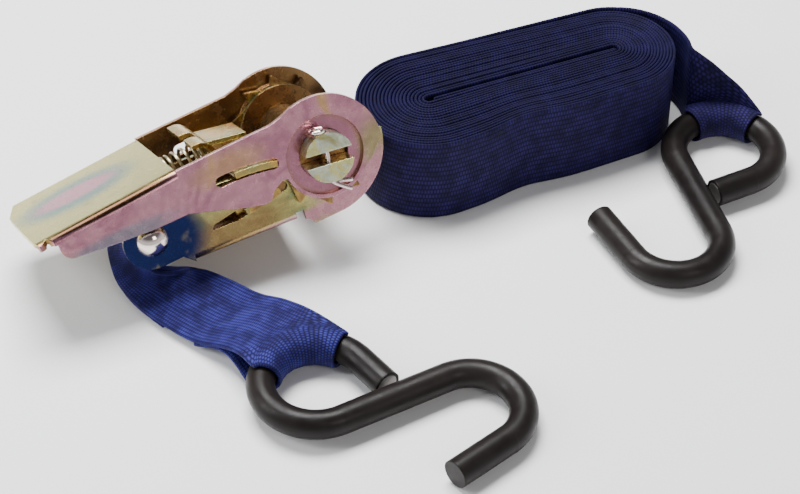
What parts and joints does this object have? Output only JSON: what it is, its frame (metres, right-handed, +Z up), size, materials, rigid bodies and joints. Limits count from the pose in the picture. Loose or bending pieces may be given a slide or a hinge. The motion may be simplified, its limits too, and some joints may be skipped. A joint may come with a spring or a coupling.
{
  "type": "ratchet tie down",
  "caption": "Compact stamped-steel ratchet buckle with a sewn short strap and S-hook, beside a wound long strap with its own S-hook.",
  "frame": {"origin": "centre of the set's overall box, on the surface that it lies on", "axes": "+X along the set's length from the buckle's grip to the long strap's hook, +Y away from the short strap's hook, +Z up"},
  "size_m": [0.1998, 0.1529, 0.044],
  "materials": {
    "plated_frame": "yellow passivated zinc plate, iridescent, semi-gloss",
    "plated_handle": "yellow passivated zinc plate, iridescent, semi-gloss",
    "plated_pawl": "yellow passivated zinc plate, iridescent, semi-gloss",
    "plated_wheel": "yellow passivated zinc plate, iridescent, semi-gloss",
    "plated_spindle": "yellow passivated zinc plate, iridescent, semi-gloss",
    "bright_steel": "bright zinc plate, polished by wear",
    "spring_steel": "drawn spring wire",
    "webbing": "woven polyester, dark navy with a violet sheen",
    "hook_wire": "drawn wire, cut end",
    "hook_vinyl": "dipped vinyl, satin black"
  },
  "bodies": {
    "buckle_frame": {"frame": "plated_frame", "tail_bolt": "bright_steel", "tail_nut": "bright_steel", "tail_sleeve": "bright_steel", "lock_spring": "spring_steel"},
    "handle_arm": {"handle": "plated_handle", "release_spring": "spring_steel"},
    "release_slider": {"release_pawl": "plated_pawl"},
    "lock_slider": {"lock_pawl": "plated_pawl"},
    "winding_spindle": {"spindle_upper_half": "plated_spindle", "spindle_lower_half": "plated_spindle", "ratchet_wheel_near": "plated_wheel", "ratchet_wheel_far": "plated_wheel", "split_pin_near": "bright_steel", "split_pin_far": "bright_steel"},
    "anchor_strap": {"short_strap": "webbing"},
    "anchor_hook": {"short_hook_wire": "hook_wire", "short_hook_coating": "hook_vinyl"},
    "load_strap": {"long_strap_roll": "webbing", "long_strap_end": "webbing"},
    "load_hook": {"long_hook_wire": "hook_wire", "long_hook_coating": "hook_vinyl"}
  },
  "joints": [
    {"name": "handle_swing", "type": "hinge", "parent": "buckle_frame", "child": "handle_arm", "pos_m": [-0.02801, 0.02361, 0.0226], "axis": [-0.3844, 0.8273, -0.4096], "range_deg": [0, 135]},
    {"name": "release_pull", "type": "slide", "parent": "handle_arm", "child": "release_slider", "axis": [-0.9008, -0.4333, -0.0298], "range_m": [0, 0.003], "stiffness_N_per_m": 400, "springref_m": -0.004, "deforming": ["release_spring"]},
    {"name": "lock_pull", "type": "slide", "parent": "buckle_frame", "child": "lock_slider", "axis": [-0.8165, -0.5117, -0.2673], "range_m": [0, 0.004], "stiffness_N_per_m": 400, "springref_m": -0.004, "deforming": ["lock_spring"]},
    {"name": "spindle_turn", "type": "hinge", "parent": "buckle_frame", "child": "winding_spindle", "pos_m": [-0.02801, 0.02361, 0.0226], "axis": [-0.3844, 0.8273, -0.4096], "continuous": true},
    {"name": "short_strap_swing", "type": "hinge", "parent": "buckle_frame", "child": "anchor_strap", "pos_m": [-0.06846, 0.00034, 0.01355], "axis": [-0.3844, 0.8273, -0.4096], "range_deg": [-8, 12]},
    {"name": "short_hook_turn", "type": "hinge", "parent": "anchor_strap", "child": "anchor_hook", "pos_m": [-0.02261, -0.04589, 0.0052], "axis": [0.0231, -0.0049, 0.9997], "range_deg": [-60, 16]},
    {"name": "long_strap_draw", "type": "slide", "parent": "buckle_frame", "child": "load_strap", "axis": [0.9397, 0.342, 0], "range_m": [0, 0.06]},
    {"name": "long_hook_turn", "type": "hinge", "parent": "load_strap", "child": "load_hook", "pos_m": [0.08329, 0.03931, 0.005], "axis": [-0.0101, -0.0213, 0.9997], "range_deg": [-12, 55]}
  ]
}
